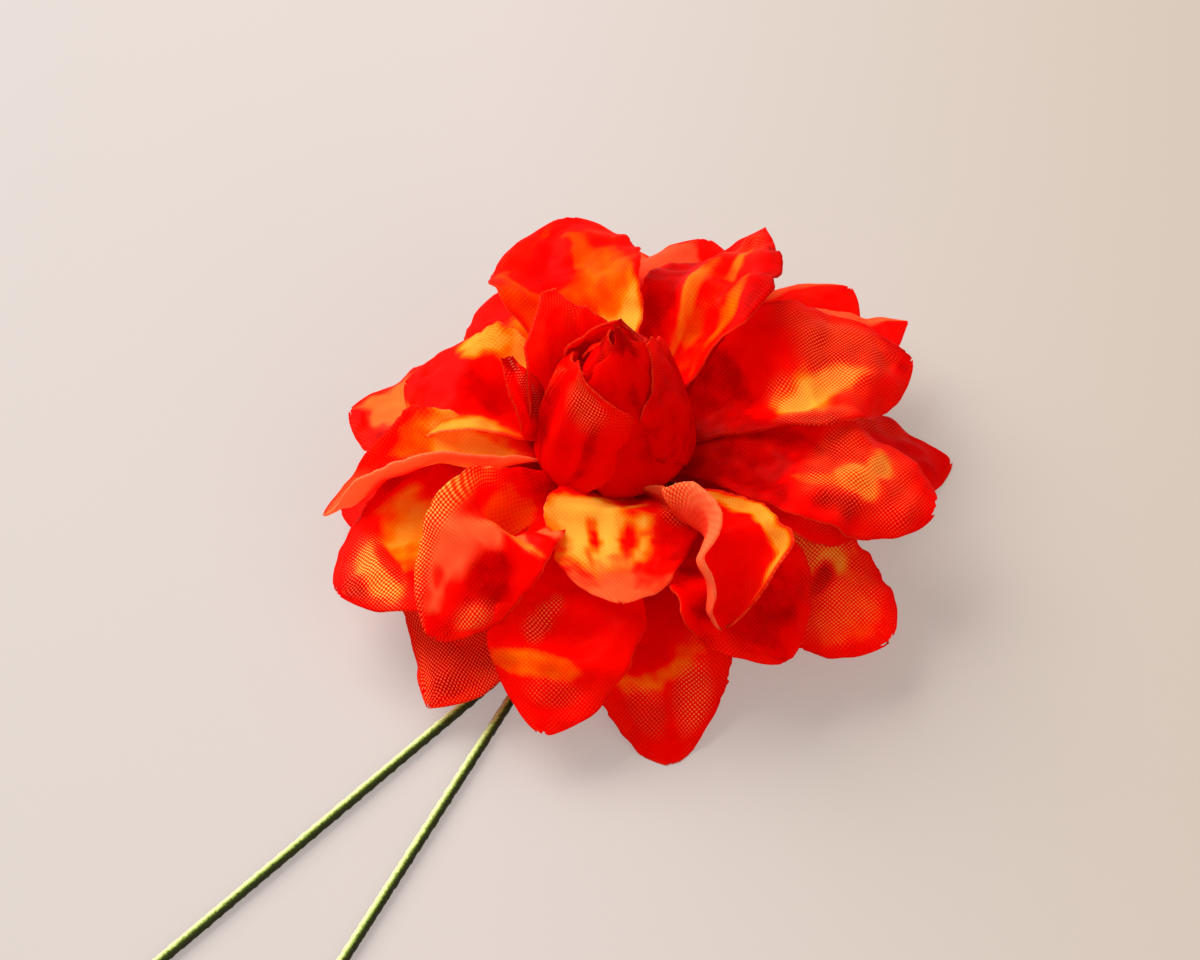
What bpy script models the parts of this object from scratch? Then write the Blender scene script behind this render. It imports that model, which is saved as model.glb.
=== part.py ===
"""A fabric dahlia on two paper-wrapped wires, lying face up on a table.

The flower's axis stands upright. Its petals were cut out in layers, pressed hollow with a
warm ball and threaded on the peg of a plastic calyx. The two wires leave the calyx
downwards, bend flat and run along the table side by side before they part.
The frame is metres, +Z up, with the table at z = 0. Sizes below are in millimetres and are
turned into metres by MM where a mesh is made.
"""

import math

import bmesh
import bpy
import numpy as np

MM = 0.001

# Where the flower's axis stands, from the middle of the whole part's outline.
FLOWER_AT = (14.235, 25.787)

# Petal layers: the thickness of a blade, and the fabric ring that joins the petals.
BLADE = 0.6
HUB_RADIUS = 3.4
HUB_HOLE = 1.7
HUB_THICK = 0.76
ROOT_RADIUS = 2.2
LOW_HUB = 8.0
LAYER_STEP = 1.0
BUD_HUB = LOW_HUB + 4 * LAYER_STEP
BUD_LEAN = -0.9
BUD_RADIUS = 3.3
INNER_RADIUS = 2.5

# Calyx: a moulded cup under the flower, with a socket for the wires and a peg above.
PEG_RADIUS = 1.4
PEG_TOP = BUD_HUB + 1.6
CUP_RADIUS = 5.6
CUP_TOP = LOW_HUB - HUB_THICK / 2 - 0.4
NECK_RADIUS = 2.6
NECK_FOOT = 3.7
SOCKET_RADIUS = 1.65
SOCKET_ROOF = 6.1

# Wires: steel of 0.6 mm in a paper wrapping, 1.12 mm across together.
CORE_RADIUS = 0.3
WRAP_BORE = 0.35
WRAP_RADIUS = 0.56
PAIR_STEP = 1.36
WIRE_TOP = 5.8
BEND_RADIUS = 3.0
WIRE_REACH = 95.0
PAIR_HEADING = 243.2
PART_AT = 20.8
PART_TURN = -16.6
PART_BEND = 7.0

# One row for each petal: the way it points in degrees, its crest and its tip as (radius,
# height), and its greatest width. The rest are the differences from the usual pressing.
LOW_PETALS = [
    dict(azimuth=234.5, crest=(21.0, 7.8), tip=(32.6, 3.4), width=13.5, point=1.0),
    dict(azimuth=278.5, crest=(21.0, 8.0), tip=(31.6, -0.6), width=14.0),
    dict(azimuth=322.5, crest=(22.0, 8.2), tip=(33.4, 6.0), width=14.5, point=0.55),
    dict(azimuth=12.5, crest=(22.0, 7.5), tip=(36.4, -0.6), width=15.0),
    dict(azimuth=47.0, crest=(22.0, 9.0), tip=(37.0, 7.0), width=15.0),
    dict(azimuth=88.0, crest=(21.0, 8.0), tip=(34.0, 6.0), width=15.5),
    dict(azimuth=133.0, crest=(20.0, 7.0), tip=(30.5, -0.6), width=15.5, hollow=1.6),
    dict(azimuth=180.0, crest=(20.0, 7.0), tip=(29.5, 2.0), width=15.5, hollow=1.6),
]
MIDDLE_PETALS = [
    dict(azimuth=209.0, crest=(21.0, 10.8), tip=(32.7, 8.0), width=16.8, roll=3, hollow=1.7),
    dict(azimuth=256.0, crest=(20.5, 11.4), tip=(31.8, 4.7), width=15.0, cup=20, hollow=1.4),
    dict(azimuth=303.0, crest=(20.0, 12.6), tip=(29.3, 8.1), width=14.5),
    dict(azimuth=344.0, crest=(20.0, 12.3), tip=(28.0, 10.0), width=13.5, cup=20),
    dict(azimuth=34.0, crest=(21.5, 12.5), tip=(37.5, 8.0), width=13.5, point=1.1, hollow=1.2),
    dict(azimuth=73.0, crest=(20.0, 13.0), tip=(32.5, 10.5), width=15.0),
    dict(azimuth=118.0, crest=(19.0, 12.2), tip=(28.0, 8.8), width=15.0),
    dict(azimuth=164.0, crest=(20.0, 11.0), tip=(29.7, 8.0), width=14.5, hollow=1.5),
]
HIGH_PETALS = [
    dict(azimuth=269.5, crest=(10.6, 13.9), tip=(22.1, 14.3), width=15.5, shoulder=0.44,
         cup=34, lip=-10, crest_at=0.42, hollow=0.3, fold=0.05),
    dict(azimuth=292.5, crest=(16.5, 16.0), tip=(25.0, 11.4), width=13.6, hollow=1.8, roll=-22, cup=74,
         lip=58, sweep=3.5),
    dict(azimuth=346.5, crest=(20.0, 15.2), tip=(32.5, 11.2), width=14.6, cup=8, lip=-20,
         hollow=1.2, point=0.5),
    dict(azimuth=23.0, crest=(19.5, 16.0), tip=(33.2, 11.0), width=17.0, roll=6, hollow=1.6),
    dict(azimuth=64.0, crest=(18.0, 18.0), tip=(33.5, 13.0), width=14.0, twist=-25, point=1.0),
    dict(azimuth=102.0, crest=(16.5, 19.5), tip=(29.0, 16.5), width=16.0, sweep=2.0, point=0.6),
    dict(azimuth=157.0, crest=(16.2, 15.0), tip=(24.6, 10.8), width=15.0, twist=-8),
    dict(azimuth=189.0, crest=(18.8, 14.6), tip=(31.0, 9.0), width=9.6, hollow=1.4, roll=20,
         cup=60, lip=55),
    dict(azimuth=230.5, crest=(17.8, 15.4), tip=(29.6, 9.6), width=13.2, roll=-14, cup=42,
         fold=0.03, sweep=-1.0),
]

# One row for each petal of the bud: the way it faces, its tip as (radius, height), the
# radius that it lies at and the degrees that it wraps. The first two close over the front.
OUTER_BUD = [
    dict(azimuth=217.0, tip=(3.6, 26.6), girth=8.0, span=106, slope=0.7, full=0.6),
    dict(azimuth=322.0, tip=(0.9, 29.4), girth=7.5, span=160, slope=0.7, full=0.45),
    dict(azimuth=2.0, tip=(7.2, 23.5), girth=8.2, span=66, full=0.55),
    dict(azimuth=58.0, tip=(2.2, 28.0), girth=8.4, span=140, full=0.5),
    dict(azimuth=130.0, tip=(8.7, 27.4), girth=7.8, span=104, full=0.55),
    dict(azimuth=176.0, tip=(10.6, 24.4), girth=8.0, span=34, slope=1.4),
]
INNER_BUD = [
    dict(azimuth=150.0, tip=(0.8, 27.7), girth=4.5, span=150, full=0.5),
    dict(azimuth=270.0, tip=(0.8, 27.3), girth=4.5, span=150, full=0.5),
    dict(azimuth=30.0, tip=(0.8, 26.9), girth=4.5, span=150, full=0.5),
]

for old in list(bpy.data.objects):
    bpy.data.objects.remove(old, do_unlink=True)


def material(name, colour, roughness, metallic=0.0):
    """A Principled material of one colour."""
    made = bpy.data.materials.new(name)
    made.use_nodes = True
    surface = made.node_tree.nodes["Principled BSDF"]
    surface.inputs["Base Color"].default_value = (*colour, 1.0)
    surface.inputs["Roughness"].default_value = roughness
    surface.inputs["Metallic"].default_value = metallic
    return made


def add_object(name, bm, paint=None):
    """Turn a bmesh in millimetres round the flower's axis into an object in metres."""
    bmesh.ops.translate(bm, verts=bm.verts, vec=(*FLOWER_AT, 0.0))
    bmesh.ops.scale(bm, verts=bm.verts, vec=(MM, MM, MM))
    mesh = bpy.data.meshes.new(name)
    bm.to_mesh(mesh)
    bm.free()
    made = bpy.data.objects.new(name, mesh)
    if paint:
        mesh.materials.append(paint)
    bpy.context.scene.collection.objects.link(made)
    return made


def ease(low, high, x):
    """Rise smoothly from 0 at low to 1 at high."""
    t = np.clip((x - low) / (high - low), 0.0, 1.0)
    return t * t * (3.0 - 2.0 * t)


def petal_point(u, v, azimuth, crest, tip, width, root, hollow=2.2, cup=28, lip=-12,
                crest_at=0.58, fold=0.06, roll=0, twist=0, sweep=0.0, ruffle=0.35, shoulder=0.64,
                point=0.72):
    """A pressed petal: u runs from its root to its tip and v from -1 to 1 across it.

    Its middle line runs root, crest, tip with the corner at the crest rounded over the
    length fold. Across, it is an arc of cup degrees a side up to the crest and of lip degrees
    beyond it. The ball has pushed its middle down by hollow, just inside the crest.
    """
    root, crest, tip = np.array(root), np.array(crest), np.array(tip)

    def middle_line(past):
        bend = np.sqrt(past * past + fold * fold)
        before = (past - bend) / 2.0 / crest_at
        after = (past + bend) / 2.0 / (1.0 - crest_at)
        return crest + np.outer(before, crest - root) + np.outer(after, tip - crest)

    middle = middle_line(u - crest_at)
    along = middle_line(u - crest_at + 0.001) - middle
    along /= np.linalg.norm(along, axis=1, keepdims=True)
    bend = np.radians(cup + (lip - cup) * ease(crest_at - 0.12, crest_at + 0.25, u))
    bend = np.maximum(np.abs(bend * ease(0.05, 0.35, u)), 0.001) * np.where(bend < 0.0, -1.0, 1.0)
    # A narrow claw, broad at the shoulder, then a rounded point.
    past_shoulder = np.clip((u - shoulder) / (1.0 - shoulder), 0.0, 1.0)
    half = width / 2.0 * (0.13 + 0.87 * ease(0.0, shoulder, u))
    half = half * (1.0 - past_shoulder ** 1.9) ** point
    across = half * np.sin(bend * v) / bend
    rise = half * (1.0 - np.cos(bend * v)) / bend
    rise -= hollow * np.exp(-((u - 0.72 * crest_at) / 0.17) ** 2 - (v / 0.62) ** 2)
    wave = np.sin(3.2 * math.pi * u + np.where(v > 0.0, 0.0, 1.9))
    rise += ruffle * 2.0 * half / width * np.abs(v) ** 3 * wave * ease(0.25, 0.6, u)
    turn = np.radians(roll * ease(0.0, 0.3, u) + twist * u)
    side = across * np.cos(turn) - rise * np.sin(turn)
    lift = across * np.sin(turn) + rise * np.cos(turn)
    side += sweep * (ease(0.1, 0.6, u) - u * ease(0.6, 1.0, u))
    radius = middle[:, 0] - along[:, 1] * lift
    height = middle[:, 1] + along[:, 0] * lift
    turned = math.radians(azimuth)
    return np.stack([
        radius * math.cos(turned) - side * math.sin(turned),
        radius * math.sin(turned) + side * math.cos(turned),
        np.maximum(height, BLADE / 2.0),
    ], axis=1)


def bud_point(u, v, azimuth, tip, girth, span, slope=0.6, full=0.4, foot=(2.9, BUD_HUB)):
    """A petal of the bud: it swells from its foot to its girth and closes towards its tip.

    It stands BUD_LEAN to one side and keeps its width up to the share full of its length.
    One edge lies further in than the other by slope a side, so that each petal tucks under
    the next.
    """
    swell = (ease(-0.12, 0.14, u) - ease(-0.12, 0.14, 0.0)) / (1.0 - ease(-0.12, 0.14, 0.0))
    radius = foot[0] + (girth - foot[0]) * swell + (tip[0] - girth) * u ** 1.9
    radius += slope * v * ease(0.0, 0.25, u) * (1.0 - 0.5 * ease(0.6, 1.0, u))
    height = foot[1] + (tip[1] - foot[1]) * u
    half = math.radians(span / 2.0) * (0.5 + 0.5 * ease(0.0, 0.35, u))
    half = half * (1.0 - 0.93 * ease(full, 1.0, u) ** 1.5) ** 0.8
    half = half * girth / np.maximum(radius, 0.6 * girth)
    turned = math.radians(azimuth) + half * v
    sideways = radius * np.cos(turned) + BUD_LEAN * swell
    return np.stack([sideways, radius * np.sin(turned), height], axis=1)


def add_blade(name, surface, row, along, across):
    """A petal as a grid bent to its surface, the same on both faces, BLADE thick."""
    bm = bmesh.new()
    bmesh.ops.create_grid(bm, x_segments=along, y_segments=across, size=1.0)
    bmesh.ops.triangulate(bm, faces=bm.faces, quad_method="SHORT_EDGE")
    flat = np.array([vert.co for vert in bm.verts])
    # The rows stand closer together near the tip, where the outline turns fastest.
    u = 0.99 * np.sin(math.pi / 2.0 * (flat[:, 0] + 1.0) / 2.0) ** 0.9
    for vert, place in zip(bm.verts, surface(u, flat[:, 1], **row)):
        vert.co = place
    blade = add_object(name, bm)
    thick = blade.modifiers.new("thickness", "SOLIDIFY")
    thick.thickness = BLADE * MM
    thick.offset = 0.0
    return blade


def add_hub(name, height, edge, paint):
    """The ring of fabric in the middle of a layer, with the hole that the peg goes through."""
    bm = bmesh.new()
    corners = [(HUB_HOLE, -0.5), (edge, -0.5), (edge, 0.5), (HUB_HOLE, 0.5)]
    ring = [bm.verts.new((radius, 0.0, height + side * HUB_THICK)) for radius, side in corners]
    edges = [bm.edges.new((ring[i], ring[(i + 1) % 4])) for i in range(4)]
    bmesh.ops.spin(bm, geom=ring + edges, axis=(0, 0, 1), cent=(0, 0, 0), steps=20,
                   angle=math.tau, use_merge=True)
    bmesh.ops.recalc_face_normals(bm, faces=bm.faces)
    return add_object(name, bm, paint)


def add_layer(name, hub, surface, rows, paint, grid):
    """A cut layer: its petals fused with the ring in the middle, hub high and wide."""
    ring = add_hub(name, *hub, paint)
    petals = bpy.data.collections.new(name + "_petals")
    bpy.context.scene.collection.children.link(petals)
    for number, row in enumerate(rows):
        blade = add_blade(f"{name}_{number}", surface, row, *grid)
        bpy.context.scene.collection.objects.unlink(blade)
        petals.objects.link(blade)
    join = ring.modifiers.new("petals", "BOOLEAN")
    join.operation = "UNION"
    join.operand_type = "COLLECTION"
    join.collection = petals
    join.solver = "EXACT"
    graph = bpy.context.evaluated_depsgraph_get()
    fused = bpy.data.meshes.new_from_object(ring.evaluated_get(graph))
    ring.modifiers.clear()
    ring.data = fused
    for blade in list(petals.objects):
        bpy.data.objects.remove(blade, do_unlink=True)
    bpy.data.collections.remove(petals)


def add_petal_layers(paint):
    """Three cut layers, the lowest first, each a step above the one below."""
    layers = [("petals_low", LOW_PETALS), ("petals_middle", MIDDLE_PETALS), ("petals_high", HIGH_PETALS)]
    for step, (name, rows) in enumerate(layers):
        height = LOW_HUB + step * LAYER_STEP
        rooted = [dict(row, root=(ROOT_RADIUS, height)) for row in rows]
        add_layer(name, (height, HUB_RADIUS), petal_point, rooted, paint, (8, 6))


def add_bud(paint):
    """The closed bud in two wraps, the outer one with petals that stand away at the back."""
    add_layer("bud_outer", (BUD_HUB, BUD_RADIUS), bud_point, OUTER_BUD, paint, (9, 8))
    height = BUD_HUB + LAYER_STEP
    inner = [dict(row, foot=(2.1, height), slope=0.5) for row in INNER_BUD]
    add_layer("bud_inner", (height, INNER_RADIUS), bud_point, inner, paint, (7, 4))


def add_calyx(paint):
    """The moulded cup: a socket below for the wires and a peg above for the layers."""
    outline = [
        (0.0, SOCKET_ROOF), (SOCKET_RADIUS, SOCKET_ROOF), (SOCKET_RADIUS, NECK_FOOT),
        (NECK_RADIUS, NECK_FOOT), (NECK_RADIUS, NECK_FOOT + 0.8), (3.4, 5.2), (4.8, 6.0),
        (CUP_RADIUS, CUP_TOP - 0.5), (CUP_RADIUS, CUP_TOP), (PEG_RADIUS, CUP_TOP),
        (PEG_RADIUS, PEG_TOP), (0.0, PEG_TOP),
    ]
    bm = bmesh.new()
    points = [bm.verts.new((radius, 0.0, height)) for radius, height in outline]
    edges = [bm.edges.new(pair) for pair in zip(points, points[1:])]
    bmesh.ops.spin(bm, geom=points + edges, axis=(0, 0, 1), cent=(0, 0, 0), steps=20,
                   angle=math.tau, use_merge=True)
    bmesh.ops.remove_doubles(bm, verts=bm.verts, dist=0.0001)
    bmesh.ops.recalc_face_normals(bm, faces=bm.faces)
    add_object("calyx", bm, paint)


def heading(degrees):
    """A level direction."""
    return np.array([math.cos(math.radians(degrees)), math.sin(math.radians(degrees)), 0.0])


def wire_route(side):
    """Points down out of the calyx, round to the table and along it, side by side.

    The wire on side +1 turns away from the other after PART_AT; the one on side -1 runs on.
    """
    outward = heading(PAIR_HEADING)
    beside = -heading(PAIR_HEADING + 90.0) * side * PAIR_STEP / 2.0
    level = WRAP_RADIUS
    up = np.array([0.0, 0.0, 1.0])
    route = [beside + up * WIRE_TOP]
    for step in range(6):
        turned = math.radians(18.0 * step)
        out = BEND_RADIUS * (1.0 - math.cos(turned))
        down = BEND_RADIUS * (1.0 - math.sin(turned))
        route.append(beside + outward * out + up * (level + down))
    if side < 0:
        route.append(beside + outward * WIRE_REACH + up * level)
        return route
    route.append(beside + outward * (PART_AT - PART_BEND / 2.0) + up * level)
    steps = 4
    for step in range(1, steps + 1):
        course = PAIR_HEADING + PART_TURN * (step - 0.5) / steps
        route.append(route[-1] + heading(course) * PART_BEND / steps)
    rest = WIRE_REACH - PART_AT
    route.append(route[-1] + heading(PAIR_HEADING + PART_TURN) * rest)
    return route


def sweep_rings(bm, route, radius, sides):
    """A ring of vertices square to the route at each of its points."""
    rings = []
    across = heading(PAIR_HEADING + 90.0)
    for number, place in enumerate(route):
        before = route[max(number - 1, 0)]
        after = route[min(number + 1, len(route) - 1)]
        course = (after - before) / np.linalg.norm(after - before)
        level = across - course * across.dot(course)
        level /= np.linalg.norm(level)
        upward = np.cross(course, level)
        ring = []
        for corner in range(sides):
            turned = math.tau * (corner + 0.5) / sides
            ring.append(bm.verts.new(
                place + radius * (math.cos(turned) * level + math.sin(turned) * upward)))
        rings.append(ring)
    return rings


def skin(bm, rings):
    """Faces between neighbouring rings."""
    sides = len(rings[0])
    for first, second in zip(rings, rings[1:]):
        for corner in range(sides):
            after = (corner + 1) % sides
            bm.faces.new((first[corner], first[after], second[after], second[corner]))


def add_wire(side, word, steel, paper):
    """A steel wire and, as a piece of its own, the paper wound round it."""
    route = wire_route(side)
    bm = bmesh.new()
    rings = sweep_rings(bm, route, CORE_RADIUS, 6)
    skin(bm, rings)
    bm.faces.new(rings[0])
    bm.faces.new(rings[-1])
    bmesh.ops.recalc_face_normals(bm, faces=bm.faces)
    add_object("wire_" + word, bm, steel)
    bm = bmesh.new()
    outside = sweep_rings(bm, route, WRAP_RADIUS / math.cos(math.pi / 8), 8)
    inside = sweep_rings(bm, route, WRAP_BORE / math.cos(math.pi / 8), 8)
    skin(bm, outside)
    skin(bm, inside)
    for end in (0, -1):
        skin(bm, [outside[end], inside[end]])
    bmesh.ops.recalc_face_normals(bm, faces=bm.faces)
    add_object("wrapping_" + word, bm, paper)


fabric = material("red_fabric", (0.72, 0.03, 0.01), 0.7)
plastic = material("green_plastic", (0.12, 0.24, 0.05), 0.45)
steel = material("steel", (0.45, 0.45, 0.44), 0.35, 1.0)
paper = material("green_paper", (0.2, 0.3, 0.06), 0.85)
add_petal_layers(fabric)
add_bud(fabric)
add_calyx(plastic)
add_wire(-1, "near", steel, paper)
add_wire(1, "far", steel, paper)
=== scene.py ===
"""A fabric dahlia on two paper-wrapped wires, laid face up on a pale table.

Each section makes one piece or group of like pieces: its sizes, colours, mesh and material,
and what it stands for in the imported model. Sizes are in millimetres, round the flower's
axis, and MM and FLOWER_AT turn them into places in the model's frame, in metres.
"""

import math

import bpy
import numpy as np
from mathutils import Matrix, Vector


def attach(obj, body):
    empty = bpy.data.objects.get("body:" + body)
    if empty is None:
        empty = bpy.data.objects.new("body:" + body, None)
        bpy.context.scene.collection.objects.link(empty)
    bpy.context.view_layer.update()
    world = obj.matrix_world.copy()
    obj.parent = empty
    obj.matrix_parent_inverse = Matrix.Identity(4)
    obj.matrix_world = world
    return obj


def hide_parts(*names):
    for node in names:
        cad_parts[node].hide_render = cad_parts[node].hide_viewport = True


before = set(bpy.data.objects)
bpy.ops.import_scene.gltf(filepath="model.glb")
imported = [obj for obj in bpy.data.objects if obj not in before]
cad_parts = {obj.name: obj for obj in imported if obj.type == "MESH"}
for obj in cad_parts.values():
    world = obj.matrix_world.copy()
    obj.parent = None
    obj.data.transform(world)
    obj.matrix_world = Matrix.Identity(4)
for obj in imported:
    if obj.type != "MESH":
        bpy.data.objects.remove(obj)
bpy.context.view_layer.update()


# ---- The table, the light and the camera.
# A pale card under the flower, a broad lamp high at the back left and a weak one in front.
# The camera looks down at fifty degrees, with the flower's axis a little right of the middle.
MM = 0.001
FLOWER_AT = (14.235, 25.787, 0.0)

# The card reaches CARD_REACH metres each way. Over the TINTED metres round its middle, its
# tint runs from cool at the left to warm at the right. It glows a little in its own tint,
# which keeps the flower's shadow as soft as the light is in the photo.
CARD_REACH = 2.0
TINTED = 1.0 / 6.0
CARD_TINTS = [(0.0, (0.218, 0.199, 0.190)), (0.5, (0.234, 0.207, 0.196)),
              (1.0, (0.212, 0.180, 0.152))]
CARD_GLOW = 1.45

# AXIS_PX is where the flower's axis comes in the picture at AXIS_HEIGHT, in pixels right of
# the picture's middle and below it.
CAMERA_DISTANCE = 280.0
CAMERA_ELEVATION = math.radians(50.0)
CAMERA_LENS = 81.48
PX_PER_MM = 9.7
AXIS_PX = (22.0, -10.0)
AXIS_HEIGHT = 8.0

LIT_HEIGHT = 10.0
ROOM_LIGHT = 0.56


def in_frame(points):
    """Millimetres round the flower's axis as metres in the model's frame."""
    return (np.asarray(points) + np.array(FLOWER_AT)) * MM


def node(tree, kind, sockets=None, **settings):
    """A node with its settings, and each input linked to a socket or set to a value."""
    made = tree.nodes.new(kind)
    for name, value in settings.items():
        setattr(made, name, value)
    for name, value in (sockets or {}).items():
        if isinstance(value, bpy.types.NodeSocket):
            tree.links.new(value, made.inputs[name])
        else:
            made.inputs[name].default_value = value
    return made


def math_node(tree, operation, *values, clamp=False):
    """The output of a Math node working on the values."""
    return node(tree, "ShaderNodeMath", dict(enumerate(values)),
                operation=operation, use_clamp=clamp).outputs[0]


def mix_colours(tree, share, first, second, blend="MIX"):
    """The output of a Mix node from the first colour to the second."""
    made = node(tree, "ShaderNodeMix", data_type="RGBA", blend_type=blend)
    for place, value in ((0, share), (6, first), (7, second)):
        if isinstance(value, bpy.types.NodeSocket):
            tree.links.new(value, made.inputs[place])
        else:
            made.inputs[place].default_value = value
    return made.outputs[2]


def ramp(tree, share, stops):
    """A colour ramp with a stop for each (place, colour)."""
    made = node(tree, "ShaderNodeValToRGB", {"Fac": share})
    marks = made.color_ramp.elements
    while len(marks) < len(stops):
        marks.new(0.5)
    for mark, (place, colour) in zip(marks, stops):
        mark.position = place
        mark.color = (*colour, 1.0)
    return made.outputs["Color"]


def new_material(name, **constants):
    """A material, its node tree and its Principled shader with plain values set."""
    made = bpy.data.materials.new(name)
    made.use_nodes = True
    surface = made.node_tree.nodes["Principled BSDF"]
    for socket, value in constants.items():
        surface.inputs[socket.replace("_", " ")].default_value = value
    return made, made.node_tree, surface


def mesh_piece(name, points, faces, paints, smooth=True):
    """An object from points in metres and lists of corners, with its materials.

    Smooth is one answer for all the faces, or one for each of them.
    """
    mesh = bpy.data.meshes.new(name)
    mesh.from_pydata(points.tolist(), [], faces)
    mesh.polygons.foreach_set("use_smooth", np.full(len(mesh.polygons), smooth))
    for paint in paints:
        mesh.materials.append(paint)
    made = bpy.data.objects.new(name, mesh)
    bpy.context.scene.collection.objects.link(made)
    return made


def grid_faces(rows, columns, wrap=False):
    """The quads of a grid of rows by columns of points, closed round each row if wrap."""
    row, column = np.meshgrid(np.arange(rows - 1), np.arange(columns - (not wrap)), indexing="ij")
    after = (column + 1) % columns
    corners = (row * columns + column, (row + 1) * columns + column,
               (row + 1) * columns + after, row * columns + after)
    return np.stack(corners, axis=-1).reshape(-1, 4)


card, tree, surface = new_material("pale_card", Roughness=0.9, Emission_Strength=CARD_GLOW)
place = node(tree, "ShaderNodeTexCoord").outputs["Object"]
across = node(tree, "ShaderNodeSeparateXYZ", {0: place})
from_left = math_node(tree, "MULTIPLY_ADD", across.outputs["X"], 1.0 / TINTED, 0.5, clamp=True)
tint = ramp(tree, from_left, CARD_TINTS)
tree.links.new(tint, surface.inputs["Base Color"])
tree.links.new(tint, surface.inputs["Emission Color"])
floor_corners = CARD_REACH * np.array([(-1, -1, 0), (1, -1, 0), (1, 1, 0), (-1, 1, 0)])
floor = mesh_piece("table_top", floor_corners, [[0, 1, 2, 3]], [card], smooth=False)

forward = np.array([0.0, math.cos(CAMERA_ELEVATION), -math.sin(CAMERA_ELEVATION)])
upward = np.array([0.0, math.sin(CAMERA_ELEVATION), math.cos(CAMERA_ELEVATION)])
target = np.array([0.0, 0.0, AXIS_HEIGHT]) + upward * AXIS_PX[1] / PX_PER_MM
target[0] -= AXIS_PX[0] / PX_PER_MM
camera = bpy.data.objects.new("camera", bpy.data.cameras.new("camera"))
camera.data.lens = CAMERA_LENS
camera.data.clip_start = 0.01
camera.location = in_frame(target - forward * CAMERA_DISTANCE)
camera.rotation_euler = (math.pi / 2 - CAMERA_ELEVATION, 0.0, 0.0)
bpy.context.scene.collection.objects.link(camera)
bpy.context.scene.camera = camera


def add_lamp(name, place, size, power, colour):
    """A square area lamp at a place in metres, facing the flower LIT_HEIGHT up its axis."""
    lamp = bpy.data.lights.new(name, "AREA")
    lamp.size = size
    lamp.energy = power
    lamp.color = colour
    made = bpy.data.objects.new(name, lamp)
    made.location = place
    aim = Vector(in_frame((0.0, 0.0, LIT_HEIGHT))) - made.location
    made.rotation_euler = aim.to_track_quat("-Z", "Y").to_euler()
    bpy.context.scene.collection.objects.link(made)


add_lamp("window", (-0.42, 0.38, 0.52), 0.66, 12.0, (1.0, 0.97, 0.94))
add_lamp("bounce", (0.50, -0.55, 0.45), 0.60, 2.6, (1.0, 0.94, 0.88))
world = bpy.data.worlds.new("room")
world.use_nodes = True
walls = world.node_tree.nodes["Background"]
walls.inputs["Color"].default_value = (0.93, 0.90, 0.88, 1.0)
walls.inputs["Strength"].default_value = ROOM_LIGHT
bpy.context.scene.world = world
bpy.context.scene.view_settings.view_transform = "Standard"


# ---- Petal layers.
# Three layers of stiffened woven polyester, each cut in one piece, printed red, orange and
# yellow on its upper side only, pressed hollow with a warm ball and threaded on the peg.
CLOTH = 0.25
THREAD_PITCH = 0.22
HUB_HOLE = 1.7
HUB_EDGE = 3.4
HUB_SINK = 0.3
ROOT_RADIUS = 2.2
LOW_HUB = 8.0
LAYER_STEP = 1.0
PETAL_GRID = (96, 29)
EDGE_RAVEL = 0.05
# The painted sheen's strength along the edges and beyond the crest.
EDGE_SHEEN = 0.12
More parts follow.
